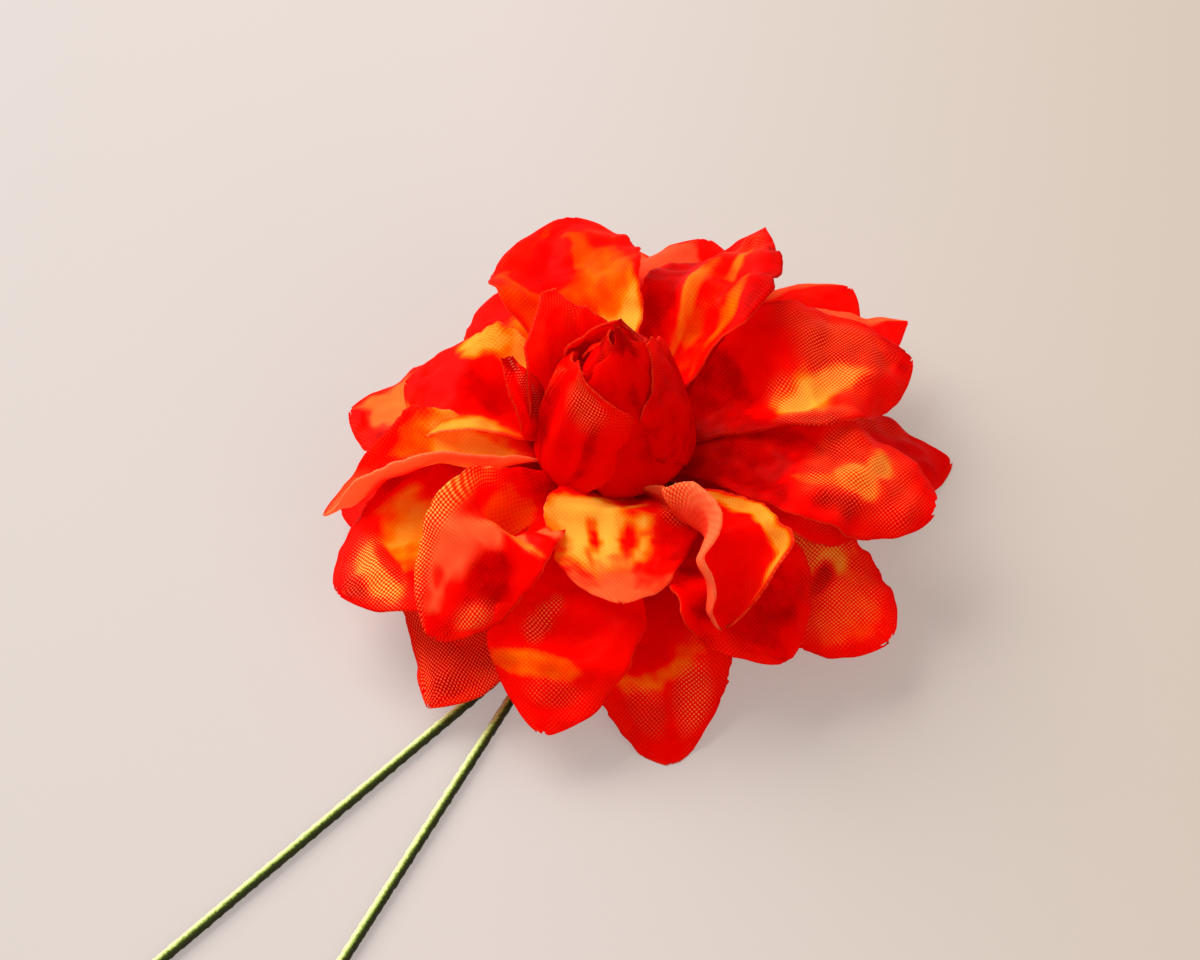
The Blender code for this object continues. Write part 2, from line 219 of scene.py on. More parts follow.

# A row for each petal: where it points, its crest and tip as (radius, height), its width and
# how it differs from the usual pressing. Places on it are u along and v across.
# Its print, painted light and painted shade go on in order: (u, v, reach along, reach across,
# warmth from red to yellow, paleness). Besides the print, most dark blots are painted shade in
# hollows, creases and under other petals, and the pale ones are paler cloth with painted sheen
# on lips. Its sheen is a painted highlight on the raised threads: (u, v, reach along, reach
# across, amount).
# Its dents are pushed in, or out if less than nothing: (u, v, reach along, reach across, depth).
LOW_PETALS = [
    dict(azimuth=234.2, crest=(21.0, 7.8), tip=(32.8, 3.2), width=15.8, point=0.95, sweep=-2.4,
         dye=[(0.6, 0.0, 0.22, 1.1, 0.4, 0.0), (0.9, 0.1, 0.2, 0.8, 0.12, 0.0)],
         sheen=[(0.75, 0.0, 0.4, 1.3, 1.0)]),
    dict(azimuth=278.5, crest=(21.0, 8.0), tip=(31.6, -0.6), width=14.0,
         dye=[(0.655, -0.15, 0.13, 1.0, 0.7, 0.0), (0.61, -0.15, 0.12, 0.72, 0.16, 0.0),
              (0.8, 0.55, 0.12, 0.3, 0.4, 0.0)],
         sheen=[(0.58, -0.45, 0.1, 0.2, 0.9), (0.78, 0.5, 0.14, 0.4, 0.7),
                (0.82, -0.3, 0.1, 0.4, 0.4)],
         dents=[(0.62, -0.15, 0.08, 0.6, 1.1), (0.74, -0.1, 0.04, 0.8, -0.5)]),
    dict(azimuth=322.5, crest=(22.0, 8.2), tip=(33.4, 6.0), width=14.5, point=0.55,
         dye=[(0.5, 0.2, 0.26, 1.1, 0.68, 0.0), (0.84, 0.0, 0.2, 0.9, 0.48, 0.0),
              (0.66, 0.5, 0.06, 0.28, 1.0, 0.0), (0.66, 0.1, 0.05, 0.4, 0.08, 0.0)],
         sheen=[(0.5, 0.6, 0.2, 0.5, 1.0), (0.76, 0.0, 0.2, 0.9, 0.55)],
         dents=[(0.64, 0.1, 0.06, 0.4, 0.8), (0.78, 0.4, 0.06, 0.4, 0.5)]),
    dict(azimuth=12.5, crest=(22.0, 7.5), tip=(36.4, -0.6), width=15.0,
         dye=[(0.8, 0.0, 0.4, 1.2, 0.16, 0.0)],
         sheen=[(0.74, 0.6, 0.15, 0.3, 0.5)]),
    dict(azimuth=47.0, crest=(22.0, 9.0), tip=(37.0, 7.0), width=15.0,
         dye=[(0.6, -0.2, 0.3, 0.4, 0.5, 0.1), (0.7, 0.95, 0.5, 0.2, 0.1, 0.7)]),
    dict(azimuth=88.0, crest=(21.0, 8.0), tip=(34.0, 6.0), width=15.5,
         dye=[(0.8, 0.0, 0.3, 1.3, 0.3, 0.75)]),
    dict(azimuth=133.0, crest=(20.0, 7.0), tip=(30.5, -0.6), width=15.5, hollow=1.6,
         dye=[(0.5, 0.1, 0.28, 0.7, 0.65, 0.0)]),
    dict(azimuth=180.0, crest=(20.0, 7.0), tip=(29.5, 2.0), width=15.5, hollow=1.6,
         dye=[(0.5, 0.0, 0.25, 0.7, 0.6, 0.0)]),
]
MIDDLE_PETALS = [
    dict(azimuth=209.0, crest=(21.0, 10.8), tip=(32.7, 8.0), width=16.8, roll=3, hollow=1.7,
         dye=[(0.64, -0.2, 0.2, 0.7, 0.86, 0.0), (0.85, 0.2, 0.09, 0.8, 0.9, 0.1),
              (0.79, 0.05, 0.03, 0.5, 0.2, 0.0), (0.96, 0.4, 0.07, 0.9, 0.1, 0.0),
              (0.6, -1.0, 0.4, 0.2, 0.1, 0.0)],
         sheen=[(0.87, 0.2, 0.11, 1.0, 1.0)],
         dents=[(0.72, -0.1, 0.08, 0.6, 0.9), (0.83, 0.1, 0.04, 0.8, -0.5)]),
    dict(azimuth=256.0, crest=(20.5, 11.4), tip=(31.8, 4.7), width=15.0, cup=20, hollow=1.4,
         dye=[(0.79, -0.25, 0.055, 0.9, 0.62, 0.0), (0.66, -0.1, 0.08, 0.75, 0.22, 0.0)],
         sheen=[(0.57, -0.24, 0.06, 0.14, 0.8), (0.62, -0.34, 0.06, 0.15, 1.0),
                (0.67, -0.44, 0.06, 0.15, 0.9), (0.87, 0.1, 0.06, 0.7, 0.4)],
         dents=[(0.67, -0.15, 0.06, 0.7, 1.1), (0.765, -0.1, 0.035, 0.9, -0.7)]),
    dict(azimuth=303.0, crest=(20.0, 12.6), tip=(29.3, 8.1), width=14.5,
         dye=[(0.6, 0.0, 0.6, 1.3, 0.08, 0.0)],
         dents=[(0.6, 0.0, 0.05, 1.0, -0.6), (0.8, 0.3, 0.05, 0.5, 0.5)]),
    dict(azimuth=344.0, crest=(20.0, 12.3), tip=(28.0, 10.0), width=13.5, cup=20,
         dye=[(0.5, 0.0, 0.25, 0.6, 0.4, 0.0)],
         sheen=[(0.7, 0.0, 0.3, 0.8, 0.6)]),
    dict(azimuth=34.0, crest=(21.5, 12.5), tip=(37.5, 8.0), width=13.5, point=1.1, hollow=1.2,
         dye=[(0.55, 0.6, 0.3, 0.3, 0.5, 0.1), (0.65, 0.9, 0.5, 0.4, 0.45, 0.8)]),
    dict(azimuth=73.0, crest=(20.0, 13.0), tip=(32.5, 10.5), width=15.0,
         dye=[(0.8, 0.6, 0.2, 0.8, 0.3, 0.6)]),
    dict(azimuth=118.0, crest=(19.0, 12.2), tip=(28.0, 8.8), width=15.0,
         dye=[(0.5, 0.0, 0.3, 0.8, 0.7, 0.0)]),
    dict(azimuth=164.0, crest=(20.0, 11.0), tip=(29.7, 8.0), width=14.5, hollow=1.5,
         dye=[(0.5, 0.3, 0.2, 0.9, 0.85, 0.1), (0.8, -0.2, 0.25, 0.9, 0.75, 0.6),
              (0.66, -0.2, 0.06, 0.35, 0.85, 0.2),
              (0.75, 0.6, 0.16, 0.35, 0.05, 0.0), (0.96, 0.3, 0.08, 0.5, 0.15, 0.0)]),
]
HIGH_PETALS = [
    dict(azimuth=269.5, crest=(10.6, 13.9), tip=(22.1, 14.3), width=15.5, shoulder=0.44,
         cup=34, lip=-10, crest_at=0.42, hollow=0.3, fold=0.05,
         dye=[(0.58, -0.3, 0.36, 0.9, 1.0, 0.15), (0.55, 0.95, 0.3, 0.55, 0.1, 0.0),
              (1.0, -0.1, 0.27, 2.6, 0.55, 0.7), (0.58, -0.38, 0.13, 0.13, 0.34, 0.0),
              (0.58, 0.09, 0.13, 0.17, 0.36, 0.0), (0.76, -0.5, 0.12, 0.07, 0.66, 0.2)],
         sheen=[(0.42, 0.75, 0.1, 0.3, 0.9)],
         dents=[(0.59, -0.33, 0.06, 0.14, 0.4), (0.59, 0.08, 0.06, 0.15, 0.4),
                (0.66, -0.12, 0.15, 0.08, -0.3), (0.44, 0.0, 0.04, 1.2, -0.5)]),
    dict(azimuth=292.5, crest=(16.5, 16.0), tip=(25.0, 11.4), width=13.6, hollow=1.8, roll=-22,
         cup=84, lip=92, sweep=3.5, ruffle=1.2, shoulder=0.74, point=0.6,
         dye=[(0.6, 0.82, 0.42, 0.2, 0.95, 0.0), (0.6, -0.95, 0.5, 0.3, 0.6, 0.7)],
         dents=[(0.45, -0.9, 0.05, 0.4, 1.1), (0.6, -0.85, 0.05, 0.4, -1.3),
                (0.74, -0.9, 0.05, 0.4, 1.3), (0.5, 0.8, 0.06, 0.4, 0.8),
                (0.66, 0.8, 0.06, 0.4, -0.8)],
         sheen=[(0.4, -0.85, 0.2, 0.3, 0.8)]),
    dict(azimuth=346.5, crest=(20.0, 15.2), tip=(32.5, 11.2), width=14.6, cup=8, lip=-20,
         hollow=1.2, point=0.5,
         dye=[(0.3, 0.0, 0.36, 1.4, 0.05, 0.0), (0.58, -0.3, 0.12, 0.2, 0.58, 0.0),
              (0.72, -0.1, 0.1, 0.35, 0.78, 0.0), (0.8, 0.4, 0.07, 0.4, 0.9, 0.1),
              (0.65, -0.6, 0.12, 0.3, 0.08, 0.0), (0.98, 0.0, 0.1, 1.2, 0.15, 0.0)],
         dents=[(0.55, 0.5, 0.12, 0.35, 0.9), (0.72, 0.05, 0.1, 0.25, -0.6)],
         sheen=[(0.7, 0.1, 0.2, 0.8, 0.8), (0.86, 0.0, 0.13, 1.1, 0.6)]),
    dict(azimuth=23.0, crest=(19.5, 16.0), tip=(33.2, 11.0), width=17.0, roll=6, hollow=1.6,
         dye=[(0.3, 0.0, 0.22, 1.2, 0.04, 0.0), (0.35, -0.9, 0.4, 0.3, 0.0, 0.0),
              (0.56, -0.35, 0.2, 0.5, 0.6, 0.0), (0.54, -0.42, 0.11, 0.24, 1.0, 0.0),
              (0.62, -0.32, 0.12, 0.26, 1.0, 0.0), (0.70, -0.2, 0.11, 0.24, 0.9, 0.0),
              (0.99, 0.0, 0.1, 1.3, 0.1, 0.0)],
         sheen=[(0.74, 0.2, 0.2, 0.9, 0.9), (0.55, -0.8, 0.14, 0.2, 0.9),
                (0.5, -0.2, 0.1, 0.4, 0.6)],
         dents=[(0.58, -0.25, 0.14, 0.45, 1.1), (0.6, 0.55, 0.2, 0.25, -0.5)]),
    dict(azimuth=62.5, crest=(18.0, 18.0), tip=(34.2, 13.0), width=14.0, twist=-25, point=1.2,
         dye=[(0.5, 0.0, 0.4, 1.2, 0.42, 0.0), (0.6, 0.8, 0.5, 0.45, 0.04, 0.0),
              (0.55, 0.22, 0.25, 0.12, 0.75, 0.2), (0.78, -0.12, 0.12, 0.14, 0.75, 0.2),
              (0.55, -0.55, 0.15, 0.3, 0.62, 0.0), (0.45, 0.0, 0.1, 0.25, 0.6, 0.0),
              (0.75, -0.9, 0.3, 0.3, 0.06, 0.0)],
         dents=[(0.62, 0.28, 0.28, 0.13, -0.9), (0.65, -0.2, 0.14, 0.25, 0.9),
                (0.7, -0.6, 0.08, 0.2, -0.5)],
         sheen=[(0.9, 0.0, 0.1, 1.0, 0.5)]),
    dict(azimuth=102.0, crest=(16.5, 19.5), tip=(29.0, 16.5), width=16.0, sweep=2.0, point=0.6,
         dye=[(0.6, 0.0, 0.5, 1.3, 0.56, 0.0), (0.45, -0.7, 0.22, 0.45, 1.0, 0.0),
              (0.62, -0.6, 0.2, 0.4, 0.62, 0.0), (0.72, 0.3, 0.2, 0.45, 0.1, 0.0),
              (0.97, -0.2, 0.1, 0.8, 0.3, 0.0)],
         dents=[(0.72, 0.2, 0.14, 0.45, 1.4)]),
    dict(azimuth=157.0, crest=(16.2, 15.0), tip=(24.6, 10.8), width=15.0, twist=-8,
         dye=[(0.45, -0.85, 0.2, 0.5, 1.0, 0.0), (0.66, -0.8, 0.2, 0.4, 0.9, 0.0),
              (0.62, 0.95, 0.4, 0.4, 0.9, 0.1), (0.6, 0.1, 0.32, 0.45, 0.12, 0.0)],
         dents=[(0.6, -0.3, 0.1, 0.4, 0.9)]),
    dict(azimuth=189.0, crest=(18.8, 14.6), tip=(31.0, 9.0), width=9.6, hollow=1.4, roll=20,
         cup=60, lip=55, droop=2.4, ruffle=0.9,
         dye=[(0.48, -0.2, 0.24, 1.4, 0.9, 0.15), (0.68, -0.4, 0.1, 0.6, 0.6, 0.0),
              (0.8, 0.0, 0.12, 0.6, 0.1, 0.0), (0.92, 0.0, 0.12, 1.1, 0.5, 0.7),
              (0.76, 0.8, 0.6, 0.7, 0.5, 1.0)]),
    dict(azimuth=230.5, crest=(17.8, 15.4), tip=(29.6, 9.6), width=13.2, roll=-14, cup=42,
         fold=0.03, sweep=-1.0,
         dye=[(0.46, -0.2, 0.15, 0.6, 0.54, 0.0), (0.68, -0.95, 0.26, 0.42, 0.85, 0.3),
              (0.76, -0.45, 0.2, 0.5, 0.42, 0.85), (0.69, -0.6, 0.04, 0.35, 0.65, 0.95),
              (0.63, -0.15, 0.04, 0.4, 0.65, 0.95), (0.56, 0.25, 0.04, 0.4, 0.65, 0.95),
              (0.47, 0.65, 0.04, 0.4, 0.6, 0.9), (0.76, 0.35, 0.13, 0.5, 0.04, 0.0),
              (0.83, -0.45, 0.05, 0.2, 0.2, 0.1), (0.88, 0.55, 0.07, 0.35, 0.5, 0.1),
              (0.97, 0.0, 0.05, 1.0, 0.15, 0.0), (0.58, 0.45, 0.025, 0.7, 0.8, 0.35)],
         dents=[(0.5, -0.25, 0.08, 0.5, 2.2), (0.68, -0.5, 0.03, 0.35, -0.7),
                (0.6, 0.0, 0.03, 0.35, -0.9), (0.52, 0.45, 0.03, 0.35, -0.7),
                (0.78, 0.35, 0.07, 0.25, 0.5)],
         sheen=[(0.72, -0.9, 0.3, 0.35, 1.0), (0.88, 0.5, 0.08, 0.4, 0.8)]),
]


def ease(low, high, x):
    """Rise smoothly from 0 at low to 1 at high."""
    t = np.clip((x - low) / (high - low), 0.0, 1.0)
    return t * t * (3.0 - 2.0 * t)


def flutter(x, y, draw, waves):
    """A sum of plane waves, five for each (length, height), in drawn directions and phases."""
    total = np.zeros_like(x)
    for length, height in waves:
        for turn, phase in draw.uniform(0.0, math.tau, (5, 2)):
            total += height / 5.0 ** 0.5 * np.sin(
                math.tau * (x * math.cos(turn) + y * math.sin(turn)) / length + phase)
    return total


def creases(x, y, draw, folds):
    """Sharp ridges that run out along the petal, three for each (spacing, height).

    Each is the bent-up crest of a wave across the petal, and it fades in and out along it.
    """
    total = np.zeros_like(x)
    for spacing, height in folds:
        for lean, phase, fade in draw.uniform(-1.0, 1.0, (3, 3)):
            wave = np.abs(np.sin(math.pi * (x + 0.45 * lean * y) / spacing + math.pi * phase))
            shows = 0.5 + 0.5 * np.sin(y / 2.6 + math.pi * fade + x / 5.0)
            total += height * (0.64 - wave) * shows
    return total


# The root's share of the width, the ball's place as a share of the crest's and its reach
# along and across the petal, the waves of the ruffle along each edge, and the length and half
# the width of a usual petal.
ROOT_SHARE = 0.13
BALL_AT = 0.72
BALL_REACH = (0.17, 0.62)
RUFFLE_WAVES = 1.6
USUAL_LENGTH = 30.0
USUAL_HALF = 7.0


def petal_point(u, v, azimuth, crest, tip, width, root, hollow=2.2, cup=28, lip=-12,
                crest_at=0.58, fold=0.06, roll=0, twist=0, sweep=0.0, ruffle=0.35, shoulder=0.64,
                point=0.72, droop=0.0):
    """A pressed petal: u runs from its root to its tip and v from -1 to 1 across it.

    Its middle line runs root, crest, tip with the corner at the crest rounded over the
    length fold. Across, it is an arc of cup degrees a side up to the crest and of lip degrees
    beyond it. The ball has pushed its middle down by hollow, just inside the crest, and its
    edges wave by ruffle. It is widest at shoulder and closes to its tip as a power of point.
    Roll turns it about its middle line all along and twist turns it more and more. Sweep
    carries the middle of its length sideways, and droop lowers its tip. Gives the points and
    half the width of the flat cut.
    """
    root, crest, tip = np.array(root), np.array(crest), np.array(tip)

    def middle_line(past):
        bend = np.sqrt(past * past + fold * fold)[..., None]
        past = past[..., None]
        before = (past - bend) / 2.0 / crest_at
        after = (past + bend) / 2.0 / (1.0 - crest_at)
        return crest + before * (crest - root) + after * (tip - crest)

    middle = middle_line(u - crest_at)
    along = middle_line(u - crest_at + 0.001) - middle
    along /= np.linalg.norm(along, axis=-1, keepdims=True)
    bend = np.radians(cup + (lip - cup) * ease(crest_at - 0.12, crest_at + 0.25, u))
    bend = np.maximum(np.abs(bend * ease(0.05, 0.35, u)), 0.001) * np.where(bend < 0.0, -1.0, 1.0)
    past_shoulder = np.clip((u - shoulder) / (1.0 - shoulder), 0.0, 1.0)
    half = width / 2.0 * (ROOT_SHARE + (1.0 - ROOT_SHARE) * ease(0.0, shoulder, u))
    half = half * (1.0 - past_shoulder ** 1.9) ** point
    across = half * np.sin(bend * v) / bend
    rise = half * (1.0 - np.cos(bend * v)) / bend
    from_ball = ((u - BALL_AT * crest_at) / BALL_REACH[0]) ** 2 + (v / BALL_REACH[1]) ** 2
    rise -= hollow * np.exp(-from_ball)
    wave = np.sin(RUFFLE_WAVES * math.tau * u + np.where(v > 0.0, 0.0, 1.9))
    rise += ruffle * 2.0 * half / width * np.abs(v) ** 3 * wave * ease(0.25, 0.6, u)
    turn = np.radians(roll * ease(0.0, 0.3, u) + twist * u)
    side = across * np.cos(turn) - rise * np.sin(turn)
    lift = across * np.sin(turn) + rise * np.cos(turn)
    side += sweep * (ease(0.1, 0.6, u) - u * ease(0.6, 1.0, u))
    radius = middle[..., 0] - along[..., 1] * lift
    height = middle[..., 1] + along[..., 0] * lift - droop * ease(0.72, 1.0, u)
    turned = math.radians(azimuth)
    points = np.stack([
        radius * math.cos(turned) - side * math.sin(turned),
        radius * math.sin(turned) + side * math.cos(turned),
        height,
    ], axis=-1)
    return points, half


def paint_petal(u, v, blots, sheen, draw):
    """Warmth, paleness and painted sheen of the print, which is darker towards the root.

    Each blot covers what is under it, softly to its rim. The painted sheen is a highlight on the
    raised threads: a little along the edges and beyond the crest, and fully in the patches of
    sheen. Both waver by waves that take every petal as of the usual size.
    """
    along, across = u * USUAL_LENGTH, v * USUAL_HALF
    ragged = flutter(along, across, draw, [(9.0, 0.15), (3.5, 0.10), (1.7, 0.05)])
    warmth = 0.26 * ease(0.15, 0.5, u) + 0.25 * ragged * ease(0.2, 0.5, u)
    pale = np.zeros_like(u)
    for at_u, at_v, reach_u, reach_v, warm, faint in blots:
        far = np.hypot((u - at_u) / reach_u, (v - at_v) / reach_v) + ragged
        cover = 1.0 - ease(0.45, 1.05, far)
        warmth += (warm - warmth) * cover
        pale += (faint - pale) * cover
    sheen_waver = flutter(along, across, draw, [(14.0, 0.20), (6.0, 0.14)])
    near_edge = 0.6 * np.abs(v) + 0.5 * ease(0.5, 0.9, u) - 0.35
    painted_sheen = EDGE_SHEEN * ease(0.2, 0.8, near_edge + sheen_waver)
    for at_u, at_v, reach_u, reach_v, amount in sheen:
        far = np.hypot((u - at_u) / reach_u, (v - at_v) / reach_v) + 0.6 * sheen_waver
        painted_sheen = np.maximum(painted_sheen, amount * (1.0 - ease(0.5, 1.1, far)))
    return warmth, pale, painted_sheen


def crumpled(points, x, y, draw, waves, folds, dents, u, v, calm):
    """Points pushed along the surface's normal by the waves, the creases and each dent's bell.

    The push fades in beyond the root and out again from calm towards the tip.
    """
    normal = np.cross(np.gradient(points, axis=0), np.gradient(points, axis=1))
    normal /= np.linalg.norm(normal, axis=-1, keepdims=True) + 1e-12
    push = flutter(x, y, draw, waves) + creases(x, y, draw, folds)
    for at_u, at_v, reach_u, reach_v, depth in dents:
        push -= depth * np.exp(-((u - at_u) / reach_u) ** 2 - ((v - at_v) / reach_v) ** 2)
    shows = ease(0.15, 0.4, u) * (1.0 - ease(calm, 0.5 + 0.5 * calm, u))
    return points + normal * (push * shows)[..., None]


def ragged_cut(u, v, draw):
    """The petal's u and v with its edges wavering: each side swells and narrows by itself."""
    sides = []
    for side in (-1.0, 1.0):
        swell = flutter(u * USUAL_LENGTH, np.full_like(u, side), draw,
                        [(11.0, 0.045), (4.5, 0.03), (1.8, 0.012)])
        sides.append(swell * ease(0.3, 0.6, u))
    waver = np.where(v < 0.0, sides[0], sides[1])
    end = flutter(v * USUAL_HALF, np.zeros_like(v), draw, [(4.0, 0.005), (1.6, 0.002)])
    return u + (end - 0.006) * ease(0.8, 1.0, u), v * (1.0 + waver * v * v)


def cut_petal(row, surface, grid, seed, waves, folds, drawn_out=1.0, calm=0.9):
    """One petal: its points, their flat places in the cloth, the print with its painted light and
    shade, and the cloth's area.

    Its rows of points lie closer towards the tip and stop just short of it. The waves are
    longer along the petal if drawn_out is less than 1, and end between calm and the tip.
    """
    draw = np.random.default_rng(seed)
    row = dict(row)
    blots, sheen, dents = (row.pop(key, []) for key in ("dye", "sheen", "dents"))
    steps = np.linspace(0.0, 1.0, grid[0])
    u, v = np.meshgrid(0.998 * np.sin(math.pi / 2.0 * steps) ** 0.9,
                       np.linspace(-1.0, 1.0, grid[1]), indexing="ij")
    cut_u, cut_v = ragged_cut(u, v, draw)
    points, half = surface(np.clip(cut_u, 0.0, 0.999), cut_v, **row)
    middle = points[:, grid[1] // 2]
    walked = np.concatenate([[0.0], np.cumsum(np.linalg.norm(np.diff(middle, axis=0), axis=1))])
    x, y = half * v, np.repeat(walked[:, None], grid[1], axis=1)
    points = crumpled(points, x, y * drawn_out, draw, waves, folds, dents, u, v, calm)
    # The cut edge is a little ragged: its points move in and out along the cloth.
    ravel = 1.0 - ease(0.75, 0.9, u[:, :1])
    for edge, inner in ((0, 1), (-1, -2)):
        outward = points[:, edge] - points[:, inner]
        outward /= np.linalg.norm(outward, axis=1, keepdims=True) + 1e-12
        points[:, edge] += outward * draw.normal(0.0, EDGE_RAVEL, (grid[0], 1)) * ravel
    points[..., 2] = np.maximum(points[..., 2], CLOTH / 2.0)
    painted_values = paint_petal(u, v, blots, sheen, draw)
    # The threads run one way over the whole layer, so they meet each petal at its own angle.
    turned = math.radians(row["azimuth"])
    out = y + ROOT_RADIUS
    flat = np.stack([out * math.cos(turned) - x * math.sin(turned),
                     out * math.sin(turned) + x * math.cos(turned)], axis=-1)
    strips = (half[1:, 0] + half[:-1, 0]) * np.diff(walked)
    return points, flat, painted_values, strips.sum()


def even_turns(count):
    """Angles in even steps once round."""
    return np.linspace(0.0, math.tau, count + 1)[:-1]


def ring_of_cloth(height, hole, edge):
    """The middle of a layer: a flat ring of points between two radii."""
    out, turn = np.meshgrid(np.linspace(hole, edge, 4), even_turns(48), indexing="ij")
    flat = np.stack([out * np.cos(turn), out * np.sin(turn)], axis=-1)
    return np.concatenate([flat, np.full((*out.shape, 1), height)], axis=-1), flat


def mark_points(mesh, label, values):
    """A number kept at each point of a mesh, for its material to read."""
    mesh.attributes.new(label, "FLOAT", "POINT").data.foreach_set("value", values)


def lay_flat(mesh, label, places):
    """A UV map from a flat place, in millimetres, for each point of a mesh."""
    corners = np.empty(len(mesh.loops), dtype=int)
    mesh.loops.foreach_get("vertex_index", corners)
    mesh.uv_layers.new(name=label).data.foreach_set("uv", places[corners].ravel())


def cloth_piece(name, petals, ring, paints, grid):
    """A layer as one mesh with its flat places, its print and painted light, and its thickness."""
    points, flats = [ring[0].reshape(-1, 3)], [ring[1].reshape(-1, 2)]
    faces = [grid_faces(*ring[0].shape[:2], wrap=True)[:, ::-1]]
    painted_lists = [np.zeros((3, len(points[0])))]
    start = len(points[0])
    for place, flat, painted_values, _ in petals:
        points.append(place.reshape(-1, 3))
        flats.append(flat.reshape(-1, 2))
        painted_lists.append(np.stack(painted_values).reshape(3, -1))
        faces.append(grid_faces(*grid) + start)
        start += grid[0] * grid[1]
    piece = mesh_piece(name, in_frame(np.concatenate(points)), np.concatenate(faces).tolist(), paints)
    for label, values in zip(("warmth", "pale", "painted_sheen"), np.concatenate(painted_lists, axis=1)):
        mark_points(piece.data, label, values)
    lay_flat(piece.data, "cloth", np.concatenate(flats))
    thick = piece.modifiers.new("thickness", "SOLIDIFY")
    thick.thickness = CLOTH * MM
    thick.offset = 0.0
    thick.material_offset = 1
    thick.material_offset_rim = 2
    return piece


# Plain weave: a thread over and under by turns, as a height from 0 to 1. The threads drift a
# little from straight.
weave = bpy.data.node_groups.new("plain_weave", "ShaderNodeTree")
weave.interface.new_socket("Cloth", in_out="INPUT", socket_type="NodeSocketVector")
weave.interface.new_socket("Pitch", in_out="INPUT", socket_type="NodeSocketFloat")
weave.interface.new_socket("Threads", in_out="OUTPUT", socket_type="NodeSocketFloat")
given = weave.nodes.new("NodeGroupInput")
given_out = weave.nodes.new("NodeGroupOutput")
drift = node(weave, "ShaderNodeTexNoise", {"Vector": given.outputs["Cloth"], "Scale": 0.35})
drift_by = node(weave, "ShaderNodeVectorMath", {0: drift.outputs["Color"], "Scale": 0.6},
                operation="SCALE")
cloth_place = node(weave, "ShaderNodeVectorMath", {0: given.outputs["Cloth"], 1: drift_by.outputs[0]},
                   operation="ADD")
axes = node(weave, "ShaderNodeSeparateXYZ", {0: cloth_place.outputs[0]})
count = math_node(weave, "DIVIDE", math.pi, given.outputs["Pitch"])
swings = [math_node(weave, "SINE", math_node(weave, "MULTIPLY", axes.outputs[axis], count))
          for axis in ("X", "Y")]
knots = math_node(weave, "MULTIPLY", *swings)
weave.links.new(math_node(weave, "MULTIPLY_ADD", knots, 0.5, 0.5), given_out.inputs["Threads"])


def raise_surface(tree, surface, height, strength, relief):
    """Bumps on a material from a height of 0 to 1 that stands for relief millimetres."""
    bumps = node(tree, "ShaderNodeBump",
                 {"Height": height, "Strength": strength, "Distance": relief * MM})
    tree.links.new(bumps.outputs["Normal"], surface.inputs["Normal"])


# How the dye is cut down between the threads, where there is no painted sheen and, darker as
# painted shade, where there is, and how high a thread has to stand to carry the painted
# highlight.
GAP_STOPS = [(0.0, (0.97, 0.7, 0.6)), (0.5, (1.0, 0.95, 0.9)), (1.0, (1.0, 1.0, 1.0))]
SHEEN_GAP_STOPS = [(0.2, (0.8, 0.02, 0.01)), (0.6, (1.0, 0.5, 0.4)), (1.0, (1.0, 1.0, 1.0))]
KNOT_STOPS = [(0.55, (0.0, 0.0, 0.0)), (0.85, (1.0, 1.0, 1.0))]
MOTTLING = 0.30
THREAD_RELIEF = 0.06


